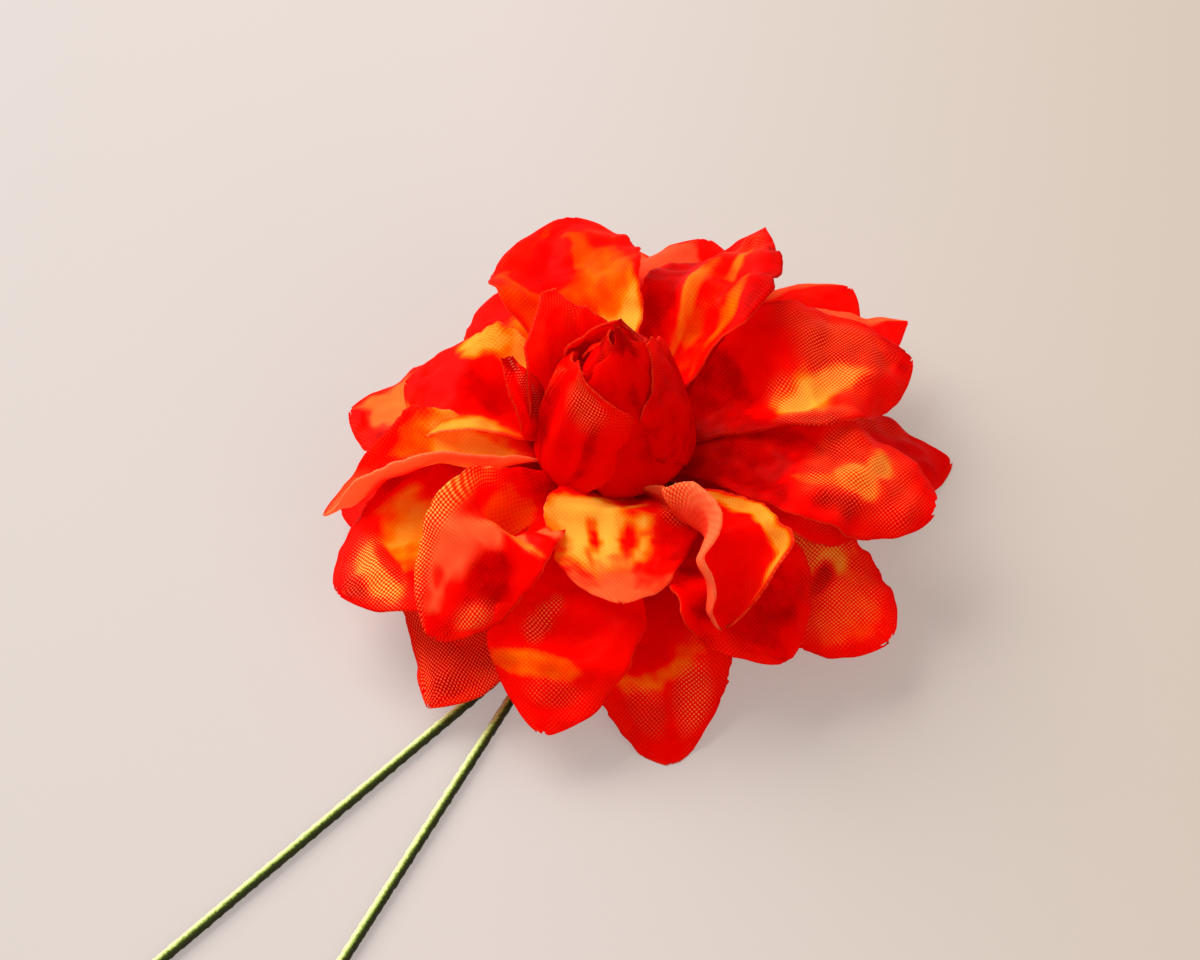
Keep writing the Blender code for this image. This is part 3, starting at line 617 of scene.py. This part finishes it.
def cloth_material(name, stops, pale_colour, roughness, through, sheen_knot_stops):
    """Dyed cloth: warmth picks the colour, paleness fades it, and the weave lights its knots.

    Where the painted sheen lies, the gaps of the weave take painted shade and its knots a
    painted highlight. The share through of the light that falls on it comes out at its other side.
    """
    made, tree, surface = new_material(name, Specular_IOR_Level=0.05,
                                       Specular_Tint=(1.0, 0.12, 0.03, 1.0))
    cloth = node(tree, "ShaderNodeUVMap", uv_map="cloth").outputs["UV"]
    group = node(tree, "ShaderNodeGroup", node_tree=weave)
    tree.links.new(cloth, group.inputs["Cloth"])
    group.inputs["Pitch"].default_value = THREAD_PITCH
    threads = group.outputs["Threads"]
    warmth = node(tree, "ShaderNodeAttribute", attribute_name="warmth").outputs["Fac"]
    pale = node(tree, "ShaderNodeAttribute", attribute_name="pale").outputs["Fac"]
    blotch = node(tree, "ShaderNodeTexNoise", {"Vector": cloth, "Scale": 0.45, "Detail": 3.0})
    mottled = math_node(tree, "MULTIPLY_ADD", blotch.outputs["Fac"], MOTTLING, -MOTTLING / 2.0)
    painted_sheen = node(tree, "ShaderNodeAttribute", attribute_name="painted_sheen").outputs["Fac"]
    contrast = math_node(tree, "MULTIPLY_ADD", painted_sheen, 0.5, 0.08)
    above_middle = math_node(tree, "SUBTRACT", threads, 0.5)
    speckled = math_node(tree, "MULTIPLY_ADD", above_middle, contrast, mottled)
    colour = ramp(tree, math_node(tree, "ADD", warmth, speckled), stops)
    colour = mix_colours(tree, pale, colour, (*pale_colour, 1.0))
    # Where the painted sheen lies, the gaps between threads take painted shade and the knots a painted
    # highlight.
    between = mix_colours(tree, painted_sheen, ramp(tree, threads, GAP_STOPS), ramp(tree, threads, SHEEN_GAP_STOPS))
    woven = mix_colours(tree, 1.0, colour, between, blend="MULTIPLY")
    knot_highlight = ramp(tree, warmth, sheen_knot_stops)
    raised = ramp(tree, threads, KNOT_STOPS)
    knots = math_node(tree, "MULTIPLY", raised, math_node(tree, "MULTIPLY", painted_sheen, 0.8))
    lit = mix_colours(tree, knots, woven, knot_highlight)
    tree.links.new(lit, surface.inputs["Base Color"])
    gloss = math_node(tree, "MULTIPLY_ADD", threads, -0.15, roughness)
    tree.links.new(gloss, surface.inputs["Roughness"])
    standing = math_node(tree, "MULTIPLY", threads, math_node(tree, "MULTIPLY_ADD", painted_sheen, 0.75, 0.25))
    raise_surface(tree, surface, standing, 0.6, THREAD_RELIEF)
    glow = node(tree, "ShaderNodeBsdfTranslucent", {"Color": colour})
    both = node(tree, "ShaderNodeMixShader", {0: through, 1: surface.outputs[0], 2: glow.outputs[0]})
    tree.links.new(both.outputs[0], tree.nodes["Material Output"].inputs["Surface"])
    return made


# Colours by warmth: of the print, whose dark reds also serve as painted shade, the reverse,
# the cut edge and the painted highlight on the threads' knots.
PRINT_STOPS = [(0.0, (0.55, 0.0, 0.0)), (0.15, (0.92, 0.0, 0.0)), (0.42, (1.0, 0.003, 0.0)),
               (0.58, (1.0, 0.10, 0.0)), (0.77, (1.0, 0.32, 0.0)), (1.0, (1.0, 0.70, 0.07))]
BACK_STOPS = [(0.0, (0.80, 0.01, 0.0)), (0.5, (1.0, 0.13, 0.05)), (1.0, (1.0, 0.48, 0.16))]
EDGE_STOPS = [(0.0, (0.60, 0.005, 0.0)), (0.5, (1.0, 0.06, 0.02)), (1.0, (1.0, 0.36, 0.10))]
SHEEN_KNOT_STOPS = [(0.15, (1.0, 0.20, 0.06)), (0.45, (1.0, 0.45, 0.10)), (0.8, (1.0, 0.80, 0.18))]
printed = cloth_material("printed_cloth", PRINT_STOPS, (1.0, 0.20, 0.06), 0.5, 0.55, SHEEN_KNOT_STOPS)
reverse = cloth_material("cloth_reverse", BACK_STOPS, (1.0, 0.28, 0.10), 0.6, 0.55, SHEEN_KNOT_STOPS)
cut_edge = cloth_material("cut_edge", EDGE_STOPS, (1.0, 0.26, 0.10), 0.75, 0.5, SHEEN_KNOT_STOPS)
CLOTH_PAINTS = [printed, reverse, cut_edge]

# The stiffened cloth's waves as (length, height) and its creases as (spacing, height).
PETAL_WAVES = [(16.0, 0.34), (7.0, 0.24), (3.2, 0.10)]
PETAL_FOLDS = [(6.0, 0.30), (2.6, 0.10)]
for step, (layer, rows) in enumerate((("petals_low", LOW_PETALS), ("petals_middle", MIDDLE_PETALS),
                                      ("petals_high", HIGH_PETALS))):
    height = LOW_HUB + step * LAYER_STEP
    cut = [cut_petal(dict(row, root=(ROOT_RADIUS, height)), petal_point, PETAL_GRID,
                     100 * step + number, PETAL_WAVES, PETAL_FOLDS) for number, row in enumerate(rows)]
    piece = cloth_piece("cloth_" + layer, cut, ring_of_cloth(height - HUB_SINK, HUB_HOLE, HUB_EDGE),
                        CLOTH_PAINTS, PETAL_GRID)
    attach(piece, "root")
    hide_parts(layer)


# ---- The closed bud.
# Two smaller layers of the same cloth, their petals pressed round a ball and folded shut
# over each other. A few petals of the outer one stand away at the back and the left.
BUD_HUB = LOW_HUB + 4 * LAYER_STEP
BUD_GRID = (80, 29)
BUD_LEAN = -0.9
BUD_TAPER = 1.6

# A row for each petal: where it points, its tip as (radius, height), the radius of its
# swelling, its span round the bud in degrees, and how it differs from the usual one.
# Narrow dark blots in the rows are painted shade along the folds, a dark tip is painted shade, and the
# sheen is a painted highlight.
OUTER_BUD = [
    dict(azimuth=217.0, tip=(3.6, 26.6), girth=8.2, span=106, slope=0.7, flare=0.6, full=0.6,
         swells_by=0.05,
         dye=[(0.3, 0.0, 0.9, 2.0, 0.24, 0.0), (0.35, 0.55, 0.5, 0.12, 0.1, 0.0),
              (0.3, -0.4, 0.5, 0.1, 0.1, 0.0)],
         sheen=[(0.78, 0.35, 0.22, 0.45, 1.0), (0.6, -0.5, 0.25, 0.08, 0.6)]),
    dict(azimuth=308.0, tip=(0.3, 30.0), girth=7.9, span=165, slope=0.7, full=0.42, swells_by=0.05,
         dye=[(0.3, 0.0, 0.9, 2.0, 0.24, 0.0), (0.35, -0.1, 0.5, 0.06, 0.08, 0.0),
              (0.3, 0.45, 0.5, 0.08, 0.08, 0.0), (1.0, 0.0, 0.22, 1.5, 0.0, 0.0)]),
    dict(azimuth=2.0, tip=(3.4, 27.4), girth=8.4, span=100, full=0.35, swells_by=0.07,
         dye=[(0.4, 0.0, 0.9, 2.0, 0.14, 0.0)]),
    dict(azimuth=58.0, tip=(1.4, 29.0), girth=8.4, span=140, full=0.5),
    dict(azimuth=138.0, tip=(8.7, 28.6), girth=7.8, span=100, full=0.3,
         dye=[(0.5, 0.0, 0.9, 2.0, 0.3, 0.0)]),
    dict(azimuth=176.0, tip=(10.6, 24.4), girth=8.0, span=28, slope=1.2, full=0.3,
         sheen=[(0.6, -0.3, 0.5, 0.5, 0.6)]),
]
INNER_BUD = [
    dict(azimuth=150.0, tip=(0.15, 29.0), girth=4.9, span=150, full=0.9),
    dict(azimuth=270.0, tip=(0.15, 28.8), girth=4.9, span=150, full=0.9),
    dict(azimuth=30.0, tip=(0.15, 28.6), girth=4.9, span=150, full=0.9),
]


def bud_point(u, v, azimuth, tip, girth, span, foot, slope=0.6, flare=0.0, full=0.4,
              swells_by=0.14):
    """A petal of the bud: u runs from its foot to its tip and v from -1 to 1 across it.

    Its radius swells from the foot's to girth by swells_by, closes to the tip's as a power of
    u, and opens again by flare at the end. One edge lies further in than the other by slope a
    side, so that each petal tucks under the next. It keeps its width up to full and narrows
    from there. The whole bud stands BUD_LEAN to one side. Gives the points and half the
    width of the flat cut.
    """
    at_foot = ease(-0.12, swells_by, 0.0)
    swell = (ease(-0.12, swells_by, u) - at_foot) / (1.0 - at_foot)
    radius = foot[0] + (girth - foot[0]) * swell + (tip[0] - girth) * u ** BUD_TAPER
    radius += flare * ease(0.82, 1.0, u)
    radius += slope * v * ease(0.0, 0.25, u) * (1.0 - 0.5 * ease(0.6, 1.0, u))
    height = foot[1] + (tip[1] - foot[1]) * u
    half = math.radians(span / 2.0) * (0.5 + 0.5 * ease(0.0, 0.35, u))
    half = half * (1.0 - 0.93 * ease(full, 1.0, u) ** 1.5) ** 0.8
    flat_radius = np.maximum(radius, 0.6 * girth)
    half = half * girth / flat_radius
    turned = math.radians(azimuth) + half * v
    sideways = radius * np.cos(turned) + BUD_LEAN * swell
    points = np.stack([sideways, radius * np.sin(turned), height], axis=-1)
    return points, half * flat_radius


# Smaller waves than on the open petals, stretched along the bud and gone near its top, and
# deeper creases.
BUD_WAVES = [(8.0, 0.18), (3.6, 0.13), (1.8, 0.05)]
BUD_FOLDS = [(4.2, 0.6), (1.9, 0.26)]
BUD_DRAWN_OUT = 0.3
BUD_CALM = 0.7

BUD_STOPS = [(0.0, (0.6, 0.0, 0.0)), (0.25, (1.0, 0.0, 0.0)), (1.0, (1.0, 0.12, 0.02))]
# The painted highlight on the bud's knots.
BUD_SHEEN_KNOT_STOPS = [(0.1, (1.0, 0.50, 0.28)), (0.8, (1.0, 0.62, 0.34))]
bud_cloth = cloth_material("bud_cloth", BUD_STOPS, (1.0, 0.32, 0.17), 0.6, 0.28, BUD_SHEEN_KNOT_STOPS)

# The print of a bud petal that has none of its own: red, with painted shade at the tip.
BUD_PRINT_AND_SHADE = [(0.3, 0.0, 0.9, 2.0, 0.22, 0.0), (1.0, 0.0, 0.25, 1.5, 0.0, 0.0)]
for layer, rows, foot, edge, extra in (
        ("bud_outer", OUTER_BUD, (2.9, BUD_HUB), 3.3, {}),
        ("bud_inner", INNER_BUD, (2.1, BUD_HUB + LAYER_STEP), 2.5, dict(slope=0.5))):
    usual = dict(foot=foot, dye=BUD_PRINT_AND_SHADE, **extra)
    cut = [cut_petal(dict(usual, **row), bud_point, BUD_GRID, 500 + len(rows) * 10 + number,
                     BUD_WAVES, BUD_FOLDS, BUD_DRAWN_OUT, BUD_CALM) for number, row in enumerate(rows)]
    piece = cloth_piece("cloth_" + layer, cut, ring_of_cloth(foot[1] - HUB_SINK, HUB_HOLE, edge),
                        [bud_cloth, printed, cut_edge], BUD_GRID)
    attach(piece, "root")
    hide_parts(layer)


# ---- The calyx.
# A small cup moulded in green plastic, satin, with a socket below for the wires and a peg
# above that goes through the holes of the layers. It has a rounded rim and twelve ribs.
CALYX_STEPS = 96
CALYX_RIBS = 12
RIB_DEPTH = 0.22
PEG_TOP = BUD_HUB + 1.6
CALYX_LINE = np.array([
    (0.0, 6.1), (1.6, 6.1), (1.65, 6.05), (1.65, 3.75), (1.7, 3.7), (2.5, 3.7), (2.6, 3.8),
    (2.6, 4.4), (2.75, 4.75), (3.4, 5.2), (4.2, 5.62), (4.8, 6.0), (5.3, 6.4), (5.56, 6.85),
    (5.6, 7.02), (5.5, 7.2), (5.3, 7.22), (1.6, 7.22), (1.4, 7.4), (1.4, PEG_TOP - 0.2),
    (1.25, PEG_TOP), (0.0, PEG_TOP),
])


def turned_piece(name, line, steps, ribs, rib_depth, paints):
    """A profile of (radius, height) carried round the axis, its radius cut in between ribs.

    The ribs are cosines that show only where the radius is over 2.6 mm and under 5.6 mm, on
    the underside. The profile's two ends on the axis are closed with fans.
    """
    turn = even_turns(steps)
    radius = np.repeat(line[:, :1], steps, axis=1)
    shows = ease(2.6, 3.2, radius) * (1.0 - ease(5.0, 5.6, radius)) * (line[:, 1:] < 7.0)
    radius = radius - rib_depth * shows * (0.5 - 0.5 * np.cos(ribs * turn))
    points = np.stack([radius * np.cos(turn), radius * np.sin(turn),
                       np.repeat(line[:, 1:], steps, axis=1)], axis=-1)
    rings = points[1:-1].reshape(-1, 3)
    ends = np.array([[0.0, 0.0, line[0, 1]], [0.0, 0.0, line[-1, 1]]])
    corner = np.arange(steps)
    after = (corner + 1) % steps
    last = len(rings) - steps
    fans = np.concatenate([
        np.stack([np.full(steps, len(rings)), corner, after], axis=-1),
        np.stack([np.full(steps, len(rings) + 1), last + after, last + corner], axis=-1),
    ])
    faces = grid_faces(len(line) - 2, steps, wrap=True)[:, ::-1].tolist() + fans.tolist()
    return mesh_piece(name, in_frame(np.concatenate([rings, ends])), faces, paints)


plastic, tree, surface = new_material("moulded_green", Specular_IOR_Level=0.5)
place = node(tree, "ShaderNodeTexCoord").outputs["Object"]
swirl = node(tree, "ShaderNodeTexNoise", {"Vector": place, "Scale": 260.0, "Detail": 4.0})
green = ramp(tree, swirl.outputs["Fac"], [(0.3, (0.06, 0.15, 0.02)), (0.7, (0.13, 0.27, 0.05))])
tree.links.new(green, surface.inputs["Base Color"])
satin = math_node(tree, "MULTIPLY_ADD", swirl.outputs["Fac"], 0.25, 0.32)
tree.links.new(satin, surface.inputs["Roughness"])
grain = node(tree, "ShaderNodeTexNoise", {"Vector": place, "Scale": 2600.0})
raise_surface(tree, surface, grain.outputs["Fac"], 0.2, 0.03)
calyx = turned_piece("calyx_moulding", CALYX_LINE, CALYX_STEPS, CALYX_RIBS, RIB_DEPTH, [plastic])
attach(calyx, "root")
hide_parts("calyx")


# ---- The wires.
# Two florist's wires of drawn steel, each wound in a strip of green crepe paper that leans
# and laps over itself. Its colour is painted shade on one side and painted light, pale lime,
# on the other. Both are set in the calyx and cut off square at their far ends.
CORE_RADIUS = 0.3
WRAP_BORE = 0.35
WRAP_RADIUS = 0.56
PAIR_STEP = 1.36
WIRE_TOP = 5.8
BEND_RADIUS = 3.0
WIRE_REACH = 95.0
PAIR_HEADING = 243.2
PART_AT = 20.8
PART_TURN = -16.6
PART_BEND = 7.0
STRIP_STEP = 1.5
LAP_HEIGHT = 0.06
# The turn round the wire where the painted light on the paper is brightest.
LIT_SIDE_AT = math.radians(140.0)
CORE_SIDES = 20
WRAP_SIDES = 24
BEND_STEPS = 24
ROUTE_SPACING = 0.12


def heading(degrees):
    """A level direction, or a row of them for an array of degrees."""
    turned = np.radians(degrees)
    return np.stack([np.cos(turned), np.sin(turned), np.zeros_like(turned)], axis=-1)


def wire_route(side):
    """Even points down out of the calyx, round to the table and along it, and the way to each.

    The wire on side +1 turns away from the other after PART_AT, by PART_TURN over the length
    PART_BEND. The one on side -1 runs on.
    """
    outward = heading(PAIR_HEADING)
    beside = -heading(PAIR_HEADING + 90.0) * side * PAIR_STEP / 2.0
    up = np.array([0.0, 0.0, 1.0])
    turned = np.linspace(0.0, math.pi / 2.0, BEND_STEPS)[:, None]
    bend = (beside + outward * BEND_RADIUS * (1.0 - np.cos(turned))
            + up * (WRAP_RADIUS + BEND_RADIUS * (1.0 - np.sin(turned))))
    corners = [[beside + up * WIRE_TOP], bend]
    if side < 0:
        corners.append([beside + outward * WIRE_REACH + up * WRAP_RADIUS])
    else:
        start = beside + outward * (PART_AT - PART_BEND / 2.0) + up * WRAP_RADIUS
        courses = heading(PAIR_HEADING + PART_TURN * (np.arange(BEND_STEPS) + 0.5) / BEND_STEPS)
        parting = start + np.cumsum(courses, axis=0) * PART_BEND / BEND_STEPS
        end = parting[-1] + heading(PAIR_HEADING + PART_TURN) * (WIRE_REACH - PART_AT)
        corners += [[start], parting, [end]]
    corners = np.concatenate(corners)
    walked = np.concatenate([[0.0], np.cumsum(np.linalg.norm(np.diff(corners, axis=0), axis=1))])
    even = np.linspace(0.0, walked[-1], int(walked[-1] / ROUTE_SPACING))
    return np.stack([np.interp(even, walked, corners[:, axis]) for axis in range(3)], axis=-1), even


def tube_points(route, radius, sides):
    """Rings of points square to the route. The radius is one, or one for each point."""
    course = np.gradient(route, axis=0)
    course /= np.linalg.norm(course, axis=1, keepdims=True)
    across = heading(PAIR_HEADING + 90.0)
    level = across - course * (course @ across)[:, None]
    level /= np.linalg.norm(level, axis=1, keepdims=True)
    upward = np.cross(course, level)
    turn = even_turns(sides)[:, None]
    ring = level[:, None] * np.cos(turn) + upward[:, None] * np.sin(turn)
    radius = np.broadcast_to(radius, (len(route), sides))
    return route[:, None] + ring * radius[..., None]


steel, tree, surface = new_material("drawn_steel", Metallic=1.0, Roughness=0.34)
place = node(tree, "ShaderNodeTexCoord").outputs["Object"]
cloudy = node(tree, "ShaderNodeTexNoise", {"Vector": place, "Scale": 1500.0})
grey = ramp(tree, cloudy.outputs["Fac"], [(0.3, (0.34, 0.33, 0.31)), (0.7, (0.60, 0.59, 0.57))])
tree.links.new(grey, surface.inputs["Base Color"])

paper, tree, surface = new_material("crepe_paper", Roughness=0.5, Specular_IOR_Level=0.3,
                                    Specular_Tint=(0.8, 1.0, 0.4, 1.0))
wound = node(tree, "ShaderNodeUVMap", uv_map="wound").outputs["UV"]
fibres = node(tree, "ShaderNodeTexNoise", {"Vector": wound, "Scale": 3.0, "Detail": 5.0})
creped = node(tree, "ShaderNodeTexWave", {"Vector": wound, "Scale": 2.2, "Distortion": 6.0, "Detail": 2.0})
painted_lit_side = node(tree, "ShaderNodeAttribute", attribute_name="painted_lit_side").outputs["Fac"]
uneven = math_node(tree, "MULTIPLY_ADD", fibres.outputs["Fac"], 0.4, -0.2)
lit_and_fibres = math_node(tree, "ADD", painted_lit_side, uneven)
# The paper runs from painted shade, near black, to painted light, pale lime, round the wire.
green = ramp(tree, lit_and_fibres, [(0.45, (0.008, 0.007, 0.001)), (0.64, (0.03, 0.045, 0.004)),
                           (0.80, (0.28, 0.36, 0.07)), (0.95, (0.62, 0.68, 0.30))])
tree.links.new(green, surface.inputs["Base Color"])
crinkled = math_node(tree, "ADD", creped.outputs["Fac"], fibres.outputs["Fac"])
raise_surface(tree, surface, crinkled, 0.2, 0.04)

for side, word in ((-1, "near"), (1, "far")):
    route, walked = wire_route(side)
    core = tube_points(route, CORE_RADIUS, CORE_SIDES)
    wall = grid_faces(len(route), CORE_SIDES, wrap=True).tolist()
    rim = np.arange(CORE_SIDES)
    cut_ends = [rim[::-1].tolist(), (rim + (len(route) - 1) * CORE_SIDES).tolist()]
    wire = mesh_piece("steel_" + word, in_frame(core.reshape(-1, 3)), wall + cut_ends, [steel],
                      smooth=np.array([True] * len(wall) + [False, False]))
    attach(wire, "root")
    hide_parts("wire_" + word)

    # The strip's edge climbs round the wire once each STRIP_STEP and stands out by the lap.
    turn = even_turns(WRAP_SIDES)
    climb = (walked[:, None] / STRIP_STEP - side * turn / math.tau) % 1.0
    draw = np.random.default_rng(7 + side)
    along, around = np.meshgrid(walked, turn * 0.6, indexing="ij")
    bumpy = flutter(along, around, draw, [(1.1, 0.018), (0.6, 0.014)])
    radius = WRAP_RADIUS - LAP_HEIGHT + LAP_HEIGHT * climb ** 2 + bumpy
    outside = tube_points(route, radius, WRAP_SIDES)
    inside = tube_points(route, WRAP_BORE, WRAP_SIDES)
    outside[..., 2] = np.maximum(outside[..., 2], 0.0)
    rings = np.concatenate([inside[:1], outside, inside[::-1]])
    faces = grid_faces(len(rings), WRAP_SIDES, wrap=True).tolist()
    wrap = mesh_piece("paper_" + word, in_frame(rings.reshape(-1, 3)), faces, [paper])
    lengths, across = np.meshgrid(np.concatenate([walked[:1], walked, walked[::-1]]),
                                  WRAP_RADIUS * turn, indexing="ij")
    lay_flat(wrap.data, "wound", np.stack([lengths.ravel(), across.ravel()], axis=-1))
    # Each point's share of the painted light, which is most on the lit side of the wire.
    lit_share = 0.5 + 0.5 * np.cos(turn - LIT_SIDE_AT)
    mark_points(wrap.data, "painted_lit_side", np.tile(lit_share, len(rings)))
    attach(wrap, "root")
    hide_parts("wrapping_" + word)
